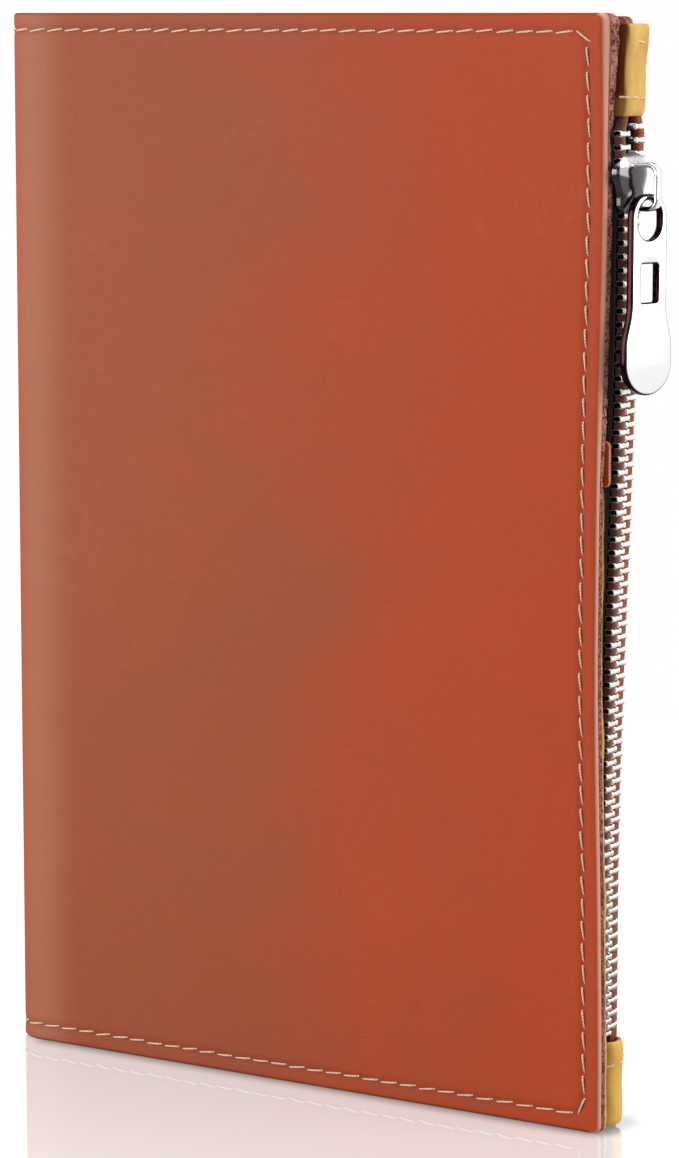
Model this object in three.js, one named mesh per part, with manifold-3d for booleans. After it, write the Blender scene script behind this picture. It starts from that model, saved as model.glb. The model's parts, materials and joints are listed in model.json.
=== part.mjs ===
import * as THREE from 'three';
import { mergeVertices } from 'three/addons/utils/BufferGeometryUtils.js';
import Module from 'manifold-3d';

const wasm = await Module();
wasm.setup();

// A travel document wallet: a folded leather cover that a metal zip closes along its fore edge.
// Millimetres, +Z up. The wallet stands on its lower edge, with the spine towards -X, the zip towards
// +X and the front cover facing -Y. While it is built, x is measured from the fore edge of the cover.

// The cover and its pockets
const coverHeight = 205;
const coverWidth = 134;
const coverLeather = 2.2;
const coverCornerRadius = 1.6;
const edgeBevel = 0.5;
const pocketLeather = 0.9;
const spineSetback = 9;
const frontPocketHeight = 120;
const trimHeight = 8.4;
const backPocketDrop = 19;

// The zip's chain
const chainWidth = 5.7;
const chainClearance = 0.2;
const toothPitch = 2.44;
const toothDepth = 1.9;
const toothClampHeight = 1.4;
const toothTipHeight = 1.04;
const toothReach = 0.75;
const beadWidth = 0.7;
const beadDepth = 1.2;
const tapeThickness = 0.4;
const tapeGap = 0.1;
const tapeEase = 0.03;
const tapeSewn = 12;
const toothHeadStart = 0.9;
const toothTipRound = 0.12;
const toothSink = 0.05;
const edgeClearance = 0.15;
const chainSink = 0.45;
const chainSettleHeight = 35;
const chainRiseDrop = 4;
const rowsSplit = 1.6;
const rowsSpread = 1.9;
const tabGap = 0.4;

// The slider, its bail and the pull
const sliderLength = 11.3;
const sliderDrop = 24.6;
const sliderWall = 0.8;
const plateThickness = 1;
const rearPlateThickness = 0.8;
const rearPlateInset = 1;
const rearPlateRound = 1;
const sliderClearance = 0.2;
const rearClearance = 0.3;
const flangeClearance = 0.25;
const splitInset = 1.92;
const wedgeTipHalf = 0.1;
const wedgeTipRise = 7.2;
const wedgeDrop = 0.9;
const crownScale = 0.84;
const footShare = 0.6;
const headShare = 0.35;
const waistShare = 0.14;
const flareShare = 0.4;
const shoulderShare = 0.68;
const bailWidth = 2.2;
const bailThickness = 1;
const bailRoom = 3.3;
const bailFootInset = 0.6;
const bailHeadInset = 1.8;
const bailRound = 1.2;
const pullThickness = 1.7;
const pullTurn = 17 * Math.PI / 180;
const pullStandOff = 1.8;
const pullEase = 1.15;
const pullArchShare = 0.55;
const pullArchDrop = 1.4;
const pullFlareRise = 1.5;
const pullLength = 36.2;
const pullHalfWidth = 4.1;
const pullEndHalfWidth = 5.7;
const pullCrown = 1.1;
const pullHoleHalfWidth = 2.6;
const pullHoleLength = 7.2;
const pullWindowHalfWidth = 2;
const pullWindowLength = 6.9;
const pullWindowDrop = 12.8;
const pullFlareDrop = 18.6;

// The leather tabs over the ends of the zip
const tabLeather = 1;
const topTabHeight = 16.4;
const topTabDrop = 1.9;
const topTabReach = 4;
const topTabBend = 1.7;
const bottomTabHeight = 15.8;
const bottomTabLift = 0.8;
const bottomTabReach = 1.8;
const tabSewn = 8;

// The stitching
const stitchPitch = 4.19;
const stitchLength = 3;
const stitchWidth = 0.8;
const stitchHeight = 0.45;
const threadThickness = 0.12;
const seamInset = 3.4;
const endSeamInset = 3;

// Derived levels, half widths and places
const chainHalf = chainWidth / 2;
const roomHalf = chainHalf + chainClearance;
const leatherInside = roomHalf + pocketLeather;
const coverHalf = leatherInside + coverLeather;
const chainLift = edgeClearance + tapeThickness + tapeGap + toothDepth;
const sliderTop = coverHeight - sliderDrop;
const sliderBottom = sliderTop - sliderLength;
const topTabBottom = coverHeight - topTabDrop - topTabHeight;
const bottomTabTop = bottomTabLift + bottomTabHeight;
const chainBottom = bottomTabTop + tabGap;
const chainTop = topTabBottom - tabGap;
const splitStart = sliderBottom + splitInset;
const splitEnd = sliderTop - splitInset;
const spreadEnd = (sliderTop + chainTop) / 2;
const plateRear = chainLift + sliderClearance;
const plateFront = plateRear + plateThickness;
const bailFoot = sliderBottom + bailFootInset;
const pullAxisX = plateFront + pullStandOff;
const pullAxisZ = bailFoot + bailThickness + pullCrown / 2 + pullEase;

const rust = { color: 0xa8492c, roughness: 0.62, metalness: 0 };
const mustard = { color: 0xcfa450, roughness: 0.6, metalness: 0 };
const cloth = { color: 0x6b3a26, roughness: 0.9, metalness: 0 };
const silver = { color: 0xc8c8c6, roughness: 0.35, metalness: 1 };
const nickel = { color: 0xb9bcc0, roughness: 0.18, metalness: 1 };
const cream = { color: 0xe0b08a, roughness: 0.8, metalness: 0 };

function solidFrom(geometry) {
  const bare = geometry.index ? geometry.clone() : geometry;
  bare.deleteAttribute('normal');
  bare.deleteAttribute('uv');
  const merged = mergeVertices(bare, 1e-4);
  const mesh = new wasm.Mesh({
    numProp: 3,
    vertProperties: new Float32Array(merged.attributes.position.array),
    triVerts: new Uint32Array(merged.index.array),
  });
  return new wasm.Manifold(mesh);
}

function geometryFrom(solid) {
  const mesh = solid.getMesh();
  const geometry = new THREE.BufferGeometry();
  geometry.setAttribute('position', new THREE.BufferAttribute(mesh.vertProperties, 3));
  geometry.setIndex(new THREE.BufferAttribute(mesh.triVerts, 1));
  return geometry;
}

function joined(geometries) {
  return geometryFrom(wasm.Manifold.union(geometries.map(solidFrom)));
}

function cut(geometry, tools) {
  return geometryFrom(wasm.Manifold.difference([geometry, ...tools].map(solidFrom)));
}

function extruded(shape, depth, curveSegments = 8) {
  return new THREE.ExtrudeGeometry(shape, { depth, curveSegments, bevelEnabled: false });
}

// A shape drawn in x and z, given thickness along y
function alongY(shape, yStart, yEnd, curveSegments) {
  const geometry = extruded(shape, yEnd - yStart, curveSegments);
  geometry.rotateX(Math.PI / 2);
  return geometry.translate(0, yEnd, 0);
}

// A shape drawn in y and z, given thickness along x
function alongX(shape, xStart, xEnd, curveSegments) {
  const axes = new THREE.Matrix4();
  axes.makeBasis(new THREE.Vector3(0, 1, 0), new THREE.Vector3(0, 0, 1), new THREE.Vector3(1, 0, 0));
  const geometry = extruded(shape, xEnd - xStart, curveSegments);
  geometry.applyMatrix4(axes);
  return geometry.translate(xStart, 0, 0);
}

function polygon(points) {
  return new THREE.Shape(points.map(([a, b]) => new THREE.Vector2(a, b)));
}

function mirrored(points) {
  return [...points, ...points.map(([a, b]) => [-a, b]).reverse()];
}

function roundedRectangle(left, right, low, high, radius) {
  const shape = new THREE.Shape();
  shape.absarc(right - radius, low + radius, radius, -Math.PI / 2, 0);
  shape.absarc(right - radius, high - radius, radius, 0, Math.PI / 2);
  shape.absarc(left + radius, high - radius, radius, Math.PI / 2, Math.PI);
  shape.absarc(left + radius, low + radius, radius, Math.PI, Math.PI * 1.5);
  return shape;
}

// A closed skin over rings of points, each ring seen whole from its first point
function lofted(rings) {
  const count = rings[0].length;
  const faces = [];
  for (let ring = 0; ring < rings.length - 1; ring += 1) {
    for (let side = 0; side < count; side += 1) {
      const a = ring * count + side;
      const b = ring * count + (side + 1) % count;
      faces.push(a, b, b + count, a, b + count, a + count);
    }
  }
  const last = (rings.length - 1) * count;
  for (let side = 1; side < count - 1; side += 1) {
    faces.push(0, side + 1, side);
    faces.push(last, last + side, last + side + 1);
  }
  const geometry = new THREE.BufferGeometry();
  geometry.setAttribute('position', new THREE.Float32BufferAttribute(rings.flat(2), 3));
  geometry.setIndex(faces);
  return geometry;
}

function mirroredY(geometry) {
  const copy = geometry.clone();
  copy.scale(1, -1, 1);
  const index = copy.index.array;
  for (let corner = 0; corner < index.length; corner += 3) {
    [index[corner], index[corner + 1]] = [index[corner + 1], index[corner]];
  }
  return copy;
}

function smoothStep(value, start, end) {
  const share = Math.min(Math.max((value - start) / (end - start), 0), 1);
  return share * share * (3 - 2 * share);
}

// How far the front of the teeth stands out from the fore edge at a height: held off by the slider
// above, settled between the covers below
function chainFront(z) {
  const share = smoothStep(z, chainSettleHeight, sliderBottom - chainRiseDrop);
  return -chainSink + (chainLift + chainSink) * share;
}

// How far each row stands off the middle at a height: parted inside the slider, wider above it
function rowOffset(z) {
  const inSlider = smoothStep(z, splitStart, splitEnd) * rowsSplit;
  return inSlider + smoothStep(z, sliderTop, spreadEnd) * (rowsSpread - rowsSplit);
}

function chainLevels() {
  const levels = [];
  const below = 14;
  for (let step = 0; step < below; step += 1) {
    levels.push(THREE.MathUtils.lerp(chainBottom, splitStart, step / below));
  }
  const above = 12;
  for (let step = 0; step <= above; step += 1) {
    levels.push(THREE.MathUtils.lerp(splitStart, chainTop, step / above));
  }
  return levels;
}

function outerCover() {
  const shape = new THREE.Shape();
  const spine = -coverWidth + coverHalf;
  shape.moveTo(-edgeBevel, -coverHalf);
  shape.lineTo(0, -coverHalf + edgeBevel);
  shape.lineTo(0, -leatherInside);
  shape.lineTo(spine, -leatherInside);
  shape.absarc(spine, 0, leatherInside, -Math.PI / 2, Math.PI / 2, true);
  shape.lineTo(0, leatherInside);
  shape.lineTo(0, coverHalf - edgeBevel);
  shape.lineTo(-edgeBevel, coverHalf);
  shape.lineTo(spine, coverHalf);
  shape.absarc(spine, 0, coverHalf, Math.PI / 2, -Math.PI / 2, false);
  const sheet = solidFrom(extruded(shape, coverHeight, 16));
  const face = roundedRectangle(-coverWidth, 0, 0, coverHeight, coverCornerRadius);
  return geometryFrom(sheet.intersect(solidFrom(alongY(face, -coverHalf - 1, coverHalf + 1, 5))));
}

function pocketPanel(side, low, high, lowCorner, highCorner) {
  const left = -coverWidth + spineSetback;
  const shape = new THREE.Shape();
  shape.moveTo(left, low);
  shape.lineTo(-lowCorner, low);
  shape.absarc(-lowCorner, low + lowCorner, lowCorner, -Math.PI / 2, 0);
  shape.absarc(-highCorner, high - highCorner, highCorner, 0, Math.PI / 2);
  shape.lineTo(left, high);
  const inner = side > 0 ? roomHalf : -leatherInside;
  return alongY(shape, inner, inner + pocketLeather, 5);
}

function zipTape() {
  const rings = chainLevels().map((z) => {
    const front = chainFront(z) - toothDepth - tapeGap;
    const outer = roomHalf + rowOffset(z);
    const inner = roomHalf - tapeThickness;
    const laid = roomHalf - tapeEase;
    const section = [
      [front - tapeThickness, laid],
      [-tapeSewn, laid],
      [-tapeSewn, inner],
      [front, inner],
      [front, outer],
      [front - tapeThickness, outer],
    ];
    return section.map(([x, y]) => [x, y, z]);
  });
  return lofted(rings);
}

function teethRow(shift) {
  const bead = lofted(chainLevels().map((z) => {
    const middle = chainFront(z) - toothDepth / 2;
    const outer = chainHalf + rowOffset(z);
    return [
      [middle - beadDepth / 2, outer - beadWidth, z],
      [middle + beadDepth / 2, outer - beadWidth, z],
      [middle + beadDepth / 2, outer, z],
      [middle - beadDepth / 2, outer, z],
    ];
  }));
  const pieces = [bead];
  const lowest = chainBottom + toothClampHeight / 2;
  for (let z = lowest + shift; z < chainTop - toothClampHeight / 2; z += toothPitch) {
    const offset = rowOffset(z);
    const outline = [
      [chainHalf + offset - toothSink, -toothClampHeight / 2],
      [chainHalf + offset - toothSink, toothClampHeight / 2],
      [toothHeadStart + offset, toothTipHeight / 2],
      [offset - toothReach, toothTipHeight / 2 - toothTipRound],
      [offset - toothReach, toothTipRound - toothTipHeight / 2],
      [toothHeadStart + offset, -toothTipHeight / 2],
    ];
    const front = chainFront(z);
    pieces.push(alongX(polygon(outline.map(([y, dz]) => [y, z + dz])), front - toothDepth, front));
  }
  return joined(pieces);
}

function plateOutline(scale) {
  const shape = new THREE.Shape();
  const narrow = (chainHalf + sliderClearance + sliderWall) * scale;
  const wide = (chainHalf + rowsSplit + sliderClearance + sliderWall) * scale;
  const inset = (1 - scale) * sliderLength / 2;
  const low = sliderBottom + inset;
  const high = sliderTop - inset;
  const span = high - low;
  const waist = low + span * waistShare;
  const flare = low + span * flareShare;
  const shoulder = low + span * shoulderShare;
  shape.moveTo(0, low);
  shape.lineTo(narrow * footShare, low);
  shape.quadraticCurveTo(narrow, low, narrow, waist);
  shape.bezierCurveTo(narrow, flare, wide, flare, wide, shoulder);
  shape.quadraticCurveTo(wide, high, wide * headShare, high);
  shape.lineTo(-wide * headShare, high);
  shape.quadraticCurveTo(-wide, high, -wide, shoulder);
  shape.bezierCurveTo(-wide, flare, -narrow, flare, -narrow, waist);
  shape.quadraticCurveTo(-narrow, low, -narrow * footShare, low);
  return shape;
}

function sliderBody() {
  const flangeRear = chainLift - toothDepth - tapeGap + flangeClearance;
  const narrow = chainHalf + sliderClearance;
  const wide = narrow + rowsSplit;
  const channel = polygon(mirrored([
    [narrow, sliderBottom - 1],
    [narrow, splitStart],
    [wide, splitEnd],
    [wide, sliderTop + 1],
  ]));
  const shell = cut(alongX(plateOutline(1), flangeRear, plateFront - plateThickness / 2), [
    alongX(channel, flangeRear - 1, plateRear),
  ]);
  const crown = alongX(plateOutline(crownScale), plateRear + plateThickness / 4, plateFront);
  const wedgeHalf = rowsSplit - toothReach - sliderClearance;
  const wedge = polygon(mirrored([
    [wedgeTipHalf, sliderBottom + wedgeTipRise],
    [wedgeHalf, splitEnd],
    [wedgeHalf, sliderTop - wedgeDrop],
  ]));
  const tongue = roomHalf - tapeThickness - rearClearance;
  const rearFront = chainLift - toothDepth - sliderClearance;
  const rearLow = sliderBottom + rearPlateInset;
  const rearHigh = sliderTop - rearPlateInset;
  const rear = roundedRectangle(-tongue, tongue, rearLow, rearHigh, rearPlateRound);
  return joined([
    shell,
    crown,
    alongX(wedge, rearFront - rearPlateThickness / 2, plateRear + plateThickness / 2),
    alongX(rear, rearFront - rearPlateThickness, rearFront, 4),
  ]);
}

function sliderBail() {
  const foot = plateFront;
  const inside = foot + bailRoom;
  const outside = inside + bailThickness;
  const low = bailFoot;
  const high = sliderTop - bailHeadInset;
  const round = bailThickness + bailRound;
  const shape = new THREE.Shape();
  shape.moveTo(foot, low);
  shape.lineTo(outside - round, low);
  shape.quadraticCurveTo(outside, low, outside, low + round);
  shape.lineTo(outside, high - round);
  shape.quadraticCurveTo(outside, high, outside - round, high);
  shape.lineTo(foot, high);
  shape.lineTo(foot, high - bailThickness);
  shape.lineTo(inside - bailRound, high - bailThickness);
  shape.quadraticCurveTo(inside, high - bailThickness, inside, high - round);
  shape.lineTo(inside, low + round);
  shape.quadraticCurveTo(inside, low + bailThickness, inside - bailRound, low + bailThickness);
  shape.lineTo(foot, low + bailThickness);
  return alongY(shape, -bailWidth / 2, bailWidth / 2, 5);
}

// Drawn flat about the axis on which it swings: a is across the pull, b is up
function zipPull() {
  const top = pullCrown / 2;
  const shoulder = -pullHalfWidth;
  const bottom = top - pullLength;
  const endRound = bottom + pullEndHalfWidth;
  const shape = new THREE.Shape();
  shape.moveTo(pullHalfWidth, shoulder);
  const arch = pullHalfWidth * pullArchShare;
  const archSide = top - pullArchDrop;
  shape.bezierCurveTo(pullHalfWidth, archSide, arch, top, 0, top);
  shape.bezierCurveTo(-arch, top, -pullHalfWidth, archSide, -pullHalfWidth, shoulder);
  shape.lineTo(-pullHalfWidth, -pullFlareDrop);
  const flareEnd = endRound + pullFlareRise;
  const flareMiddle = (flareEnd - pullFlareDrop) / 2;
  const ends = [-pullEndHalfWidth, pullEndHalfWidth];
  shape.bezierCurveTo(-pullHalfWidth, flareMiddle, ends[0], flareMiddle, ends[0], flareEnd);
  shape.absarc(0, endRound, pullEndHalfWidth, Math.PI, 2 * Math.PI);
  shape.lineTo(ends[1], flareEnd);
  shape.bezierCurveTo(ends[1], flareMiddle, pullHalfWidth, flareMiddle, pullHalfWidth, -pullFlareDrop);
  const hole = new THREE.Path();
  const holeTop = -pullCrown / 2;
  hole.absarc(0, holeTop - pullHoleHalfWidth, pullHoleHalfWidth, 0, Math.PI);
  hole.absarc(0, holeTop - pullHoleLength + pullHoleHalfWidth, pullHoleHalfWidth, Math.PI, 2 * Math.PI);
  const windowTop = -pullWindowDrop;
  const windowHole = new THREE.Path();
  windowHole.moveTo(-pullWindowHalfWidth, windowTop);
  windowHole.lineTo(-pullWindowHalfWidth, windowTop - pullWindowLength);
  windowHole.lineTo(pullWindowHalfWidth, windowTop - pullWindowLength);
  windowHole.lineTo(pullWindowHalfWidth, windowTop);
  shape.holes.push(hole, windowHole);
  const geometry = alongX(shape, -pullThickness / 2, pullThickness / 2, 8);
  geometry.rotateZ(-pullTurn);
  return geometry.translate(pullAxisX, 0, pullAxisZ);
}

// A strip folded round the end of the zip, its nose outward and its legs between the covers
function foldedTab(low, height, reach, half, bend) {
  const inner = half - tabLeather;
  const innerBend = bend - tabLeather;
  const shape = new THREE.Shape();
  shape.moveTo(-tabSewn, -half);
  shape.lineTo(reach - bend, -half);
  shape.absarc(reach - bend, bend - half, bend, -Math.PI / 2, 0, false);
  shape.absarc(reach - bend, half - bend, bend, 0, Math.PI / 2, false);
  shape.lineTo(-tabSewn, half);
  shape.lineTo(-tabSewn, inner);
  shape.absarc(reach - bend, inner - innerBend, innerBend, Math.PI / 2, 0, true);
  shape.absarc(reach - bend, innerBend - inner, innerBend, 0, -Math.PI / 2, true);
  shape.lineTo(-tabSewn, -inner);
  return extruded(shape, height, 8).translate(0, 0, low);
}

// A straight run of thread seen from its side, raised at every stitch that shows
function stitchedRun(length) {
  const points = [[0, 0], [length, 0], [length, threadThickness]];
  const count = Math.floor(length / stitchPitch);
  const first = (length - (count - 1) * stitchPitch) / 2;
  for (let stitch = count - 1; stitch >= 0; stitch -= 1) {
    const middle = first + stitch * stitchPitch;
    points.push([middle + stitchLength / 2, threadThickness]);
    points.push([middle + stitchLength / 2 - threadThickness, stitchHeight]);
    points.push([middle - stitchLength / 2 + threadThickness, stitchHeight]);
    points.push([middle - stitchLength / 2, threadThickness]);
  }
  points.push([0, threadThickness]);
  return extruded(polygon(points), stitchWidth).translate(0, 0, -stitchWidth / 2);
}

// The seam on the outer face of the back cover: along the foot, up the fore edge and along the head
function seam() {
  const spine = -coverWidth + coverHalf;
  const right = -seamInset;
  const low = endSeamInset;
  const high = coverHeight - endSeamInset;
  const upwards = new THREE.Matrix4();
  upwards.makeBasis(new THREE.Vector3(0, 0, 1), new THREE.Vector3(0, 1, 0), new THREE.Vector3(-1, 0, 0));
  const rows = [low, high].map((z) => {
    const run = stitchedRun(right - spine + stitchWidth / 2);
    return run.translate(spine, coverHalf, z);
  });
  const edge = stitchedRun(high - low);
  edge.applyMatrix4(upwards);
  edge.translate(right, coverHalf, low);
  return joined([...rows, edge]);
}

const wallet = new THREE.Group();

function add(name, geometry, finish) {
  geometry.computeVertexNormals();
  const mesh = new THREE.Mesh(geometry, new THREE.MeshStandardMaterial(finish));
  mesh.name = name;
  wallet.add(mesh);
}

add('outer_cover', outerCover(), rust);
add('front_pocket', pocketPanel(-1, 0, frontPocketHeight, coverCornerRadius, 0), mustard);
add('pocket_trim', pocketPanel(-1, frontPocketHeight, frontPocketHeight + trimHeight, 0, 0), rust);
add('back_pocket', pocketPanel(1, 0, coverHeight - backPocketDrop, coverCornerRadius, 0), mustard);
const tape = zipTape();
add('back_zip_tape', tape, cloth);
add('front_zip_tape', mirroredY(tape), cloth);
add('back_teeth', teethRow(toothPitch / 2), silver);
add('front_teeth', mirroredY(teethRow(0)), silver);
add('slider_body', sliderBody(), nickel);
add('slider_bail', sliderBail(), nickel);
add('zip_pull', zipPull(), nickel);
add('top_tab', foldedTab(topTabBottom, topTabHeight, topTabReach, leatherInside, topTabBend), mustard);
add('bottom_tab', foldedTab(bottomTabLift, bottomTabHeight, bottomTabReach, roomHalf, roomHalf), mustard);
const thread = seam();
add('back_seam', thread, cream);
add('front_seam', mirroredY(thread), cream);

// The origin is the middle of the space that the wallet takes up, at the level it stands on
const bounds = new THREE.Box3().setFromObject(wallet);
wallet.position.x = -(bounds.min.x + bounds.max.x) / 2;

export default wallet;
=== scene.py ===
import bmesh
import bpy
import json
import math
import numpy as np
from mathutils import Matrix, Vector


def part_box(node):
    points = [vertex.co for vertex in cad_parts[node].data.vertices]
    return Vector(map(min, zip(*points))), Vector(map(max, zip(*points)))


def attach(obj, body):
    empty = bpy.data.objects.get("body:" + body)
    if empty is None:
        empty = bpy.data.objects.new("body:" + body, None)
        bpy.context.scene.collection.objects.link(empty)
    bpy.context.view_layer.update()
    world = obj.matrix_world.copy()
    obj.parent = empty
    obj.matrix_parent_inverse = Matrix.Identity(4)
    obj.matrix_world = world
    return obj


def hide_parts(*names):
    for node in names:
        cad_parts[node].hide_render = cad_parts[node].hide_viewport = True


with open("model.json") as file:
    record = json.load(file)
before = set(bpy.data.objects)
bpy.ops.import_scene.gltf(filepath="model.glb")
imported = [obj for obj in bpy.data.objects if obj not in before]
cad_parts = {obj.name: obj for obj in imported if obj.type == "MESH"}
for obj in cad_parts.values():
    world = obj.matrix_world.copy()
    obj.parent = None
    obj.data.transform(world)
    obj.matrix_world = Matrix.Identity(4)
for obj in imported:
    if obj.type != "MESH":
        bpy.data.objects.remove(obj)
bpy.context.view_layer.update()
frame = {"record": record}
mm = 0.001

# The wallet stands on z = 0. +X runs from the spine to the zip, and the front cover faces -Y.
coverLow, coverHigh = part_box("outer_cover")
edgeX = coverHigh[0]
spineX = coverLow[0]
height = coverHigh[2]
halfThick = coverHigh[1]
sheet = {
    "leather": 2.2 * mm,  # thickness of the cover
    "bevel": 0.75 * mm,  # burnished round on the outer edge
    "innerBevel": 0.3 * mm,
    "corner": 1.4 * mm,  # round of the sheet's corners, seen from the front
    "bow": 0.9 * mm,  # how far the fore edge is drawn in at its middle
    "footLean": 0.7 * mm,  # how far it leans out again at its foot
    "swell": 0.9 * mm,  # how far the upper fore corner stands out
    "crown": 0.35 * mm,  # soft bulge of the two faces
    "groove": 0.16 * mm,  # how deep the seam pulls the leather in
    "backShort": 1.2 * mm,  # how far the back fore edge stops behind the front one
    "backLow": 0.6 * mm,  # how far the back head edge sits below the front one
    "reach": 55 * mm,  # how far in from the fore edge the bow dies away
    "splay": 0.5 * mm,  # how far the raw edge leans out above the pocket
    "topSplay": 1.2 * mm,  # and how much more at the head
}
seam = {
    "inset": 3.3 * mm,
    "corner": 3.0 * mm,
    "pitch": 4.19 * mm,
    "length": 3.95 * mm,
    "width": 0.48 * mm,
    "lift": 0.2 * mm,
    "slant": math.radians(-6),
}


# Mesh and grid helpers

def smoothStep(value, start, end):
    # 3k^2 - 2k^3, where k is the clamped share of the way from start to end
    k = np.clip((value - start) / (end - start), 0, 1)
    return k * k * (3 - 2 * k)


def gridQuads(rows, columns, closeColumns=False, first=0):
    # quads between neighbouring points of a rows x columns grid
    i = np.arange(rows - 1)
    j = np.arange(columns if closeColumns else columns - 1)
    i, j = np.meshgrid(i, j, indexing="ij")
    here, above, beside = i * columns, (i + 1) * columns, (j + 1) % columns
    quads = np.stack([here + j, above + j, above + beside, here + beside], -1)
    return quads.reshape(-1, 4) + first


def repeated(quads, count, points):
    # the quads of count copies of a shell with this many points
    return (quads[None] + (np.arange(count) * points)[:, None, None]).reshape(-1, 4)


def gathered(x, y, z):
    return np.stack(np.broadcast_arrays(x, y, z), -1)


def wholeTurn(count):
    return np.linspace(0, 2 * np.pi, count, endpoint=False)


def squaredOff(angle, power):
    # cosine and sine with their sizes raised to a power, which squares off a circle
    return [np.sign(k) * np.abs(k) ** power for k in (np.cos(angle), np.sin(angle))]


def tubeQuads(rings, sides):
    # the wall of a tube of rings with an even number of sides, and a fan of quads over each end
    fan = np.array([[0, k, k + 1, k + 2] for k in range(1, sides - 2, 2)])
    wall = gridQuads(rings, sides, closeColumns=True)
    return np.concatenate([wall, fan[:, ::-1], fan + (rings - 1) * sides])


def enclosedVolume(points, quads):
    # sum of the tetrahedra from the origin to every triangle, positive when faces point outwards
    a, b, c, d = (points[quads[:, k]] for k in range(4))
    return (np.einsum("ij,ij->", a, np.cross(b, c)) + np.einsum("ij,ij->", a, np.cross(c, d))) / 6


def addObject(name, data):
    made = bpy.data.objects.new(name, data)
    bpy.context.collection.objects.link(made)
    return made


def makePiece(name, points, quads, body, material, replaces=(), layers=None):
    # a closed mesh, turned outwards; layers holds one value for each point under an attribute's name
    points = np.asarray(points, float).reshape(-1, 3)
    quads = np.asarray(quads, int)
    if enclosedVolume(points, quads) < 0:
        quads = quads[:, ::-1]
    faces = [tuple(dict.fromkeys(face)) for face in quads.tolist()]
    mesh = bpy.data.meshes.new(name)
    mesh.from_pydata(points.tolist(), [], faces)
    mesh.polygons.foreach_set("use_smooth", np.ones(len(mesh.polygons), bool))
    for layerName, values in (layers or {}).items():
        layer = mesh.attributes.new(layerName, "FLOAT", "POINT")
        layer.data.foreach_set("value", np.asarray(values, np.float32).ravel())
    mesh.update()
    mesh.materials.append(material)
    piece = addObject(name, mesh)
    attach(piece, body)
    for node in replaces:
        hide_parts(node)


def joinShells(shells):
    # several closed shells as one list of points and quads
    points, quads, offset = [], [], 0
    for shellPoints, shellQuads in shells:
        shellPoints = np.asarray(shellPoints, float).reshape(-1, 3)
        if enclosedVolume(shellPoints, shellQuads) < 0:
            shellQuads = shellQuads[:, ::-1]
        points.append(shellPoints)
        quads.append(shellQuads + offset)
        offset += len(shellPoints)
    return np.concatenate(points), np.concatenate(quads)


def followPath(along, depth, start, heading, segments):
    # a point at a length along a path of lines and right-hand bends, moved inwards by depth.
    # Each segment is (length, radius at depth 0), with radius None on a line.
    along, depth = np.broadcast_arrays(along, depth)
    x = np.zeros(along.shape)
    y = np.zeros(along.shape)
    px, py, turn, reached = start[0], start[1], heading, 0.0
    for number, (length, radius) in enumerate(segments):
        isLast = number == len(segments) - 1
        here = (along >= reached) | (number == 0)
        here &= (along < reached + length) | isLast
        u = along[here] - reached
        if radius is None:
            x[here] = px + u * math.cos(turn) + depth[here] * math.sin(turn)
            y[here] = py + u * math.sin(turn) - depth[here] * math.cos(turn)
            px, py = px + length * math.cos(turn), py + length * math.sin(turn)
        else:
            cx, cy = px + radius * math.sin(turn), py - radius * math.cos(turn)
            angle = turn - u / radius
            x[here] = cx - (radius - depth[here]) * np.sin(angle)
            y[here] = cy + (radius - depth[here]) * np.cos(angle)
            turn -= length / radius
            px, py = cx - radius * math.sin(turn), cy + radius * math.cos(turn)
        reached += length
    return x, y


def sheetLines(total, near, step):
    # grid lines along one side of a sheet: the near ones at both ends, then even steps between
    near = np.asarray(near)
    middle = np.linspace(near[-1], total - near[-1], max(int((total - 2 * near[-1]) / step), 2) + 1)
    return np.concatenate([near[:-1], middle, (total - near[:-1])[::-1]])


def roundedGrid(long, tall, longLines, tallLines, inset, corner):
    # a grid that fills a rectangle inset from the sheet's outline, its corners squeezed to arcs:
    # the square of each corner goes to a quarter disc, p -> p sqrt(1 - q^2 / 2)
    u = inset + longLines / long * (long - 2 * inset)
    v = inset + tallLines / tall * (tall - 2 * inset)
    u, v = np.meshgrid(u, v)
    radius = max(corner - inset, 1e-6)
    toU = np.where(u < long / 2, inset + radius, long - inset - radius)
    toV = np.where(v < tall / 2, inset + radius, tall - inset - radius)
    p = (u - toU) / radius
    q = (v - toV) / radius
    inCorner = (p * np.sign(u - long / 2) > 0) & (q * np.sign(v - tall / 2) > 0)
    u = np.where(inCorner, toU + radius * p * np.sqrt(np.clip(1 - q * q / 2, 0, 1)), u)
    v = np.where(inCorner, toV + radius * q * np.sqrt(np.clip(1 - p * p / 2, 0, 1)), v)
    return u, v


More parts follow.
